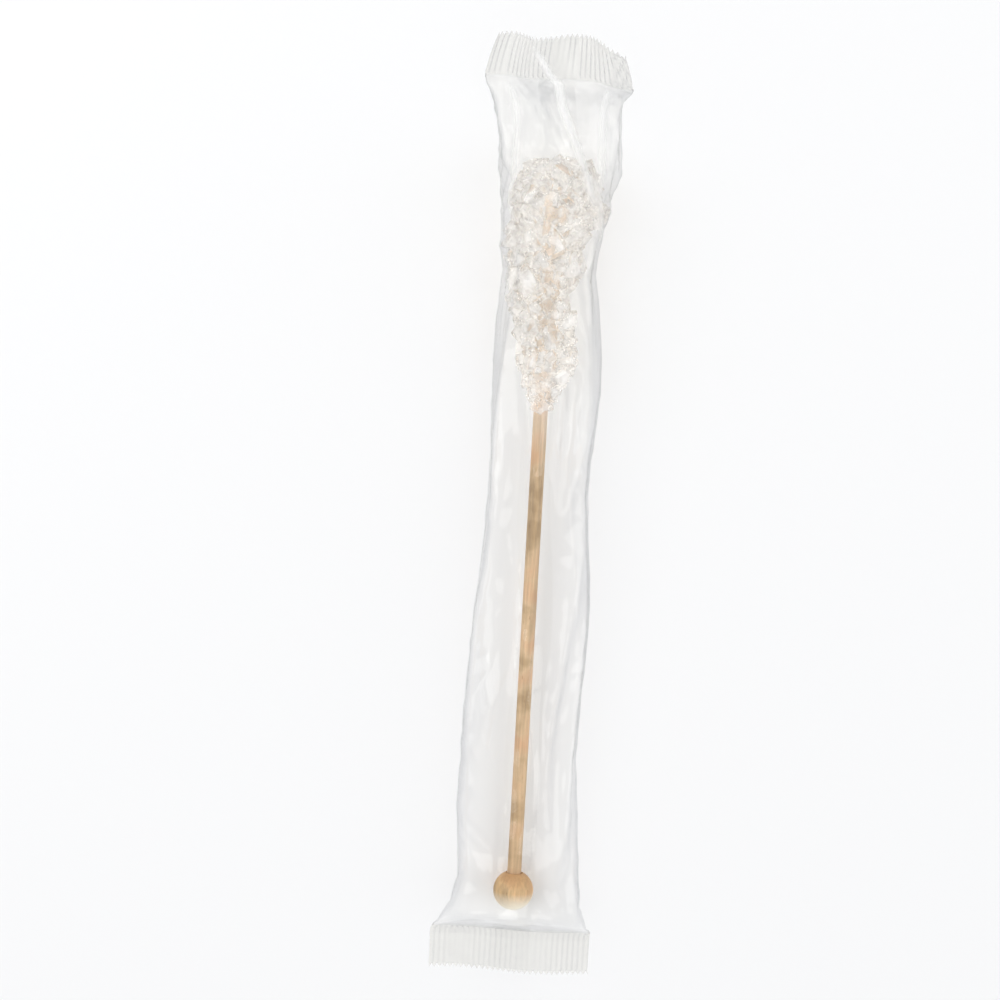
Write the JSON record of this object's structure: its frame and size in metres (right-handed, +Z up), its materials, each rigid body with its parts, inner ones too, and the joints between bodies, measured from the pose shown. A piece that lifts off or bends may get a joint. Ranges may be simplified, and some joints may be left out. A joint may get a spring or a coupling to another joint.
{
  "type": "rock candy stick",
  "caption": "Cluster of clear sugar crystals grown round one end of a thin wooden dowel, with a wooden ball on the other end, in a long clear film wrapper sealed flat across both ends.",
  "frame": {"origin": "under the middle of the wrapper, on the surface that the wrapped stick lies on", "axes": "+Y runs along the stick from the ball to the candy, +Z is up, away from that surface, and +X is across"},
  "size_m": [0.0362, 0.214, 0.0233],
  "materials": {
    "birch_dowel": "bare, fine straight grain",
    "birch_ball": "bare, turned smooth",
    "sugar_crystal": "clear to milky, sharp bright facets",
    "clear_film": "clear glossy film, creased"
  },
  "bodies": {
    "root": {"stick": "birch_dowel", "ball": "birch_ball", "candy": "sugar_crystal", "wrapper": "clear_film"}
  },
  "joints": []
}
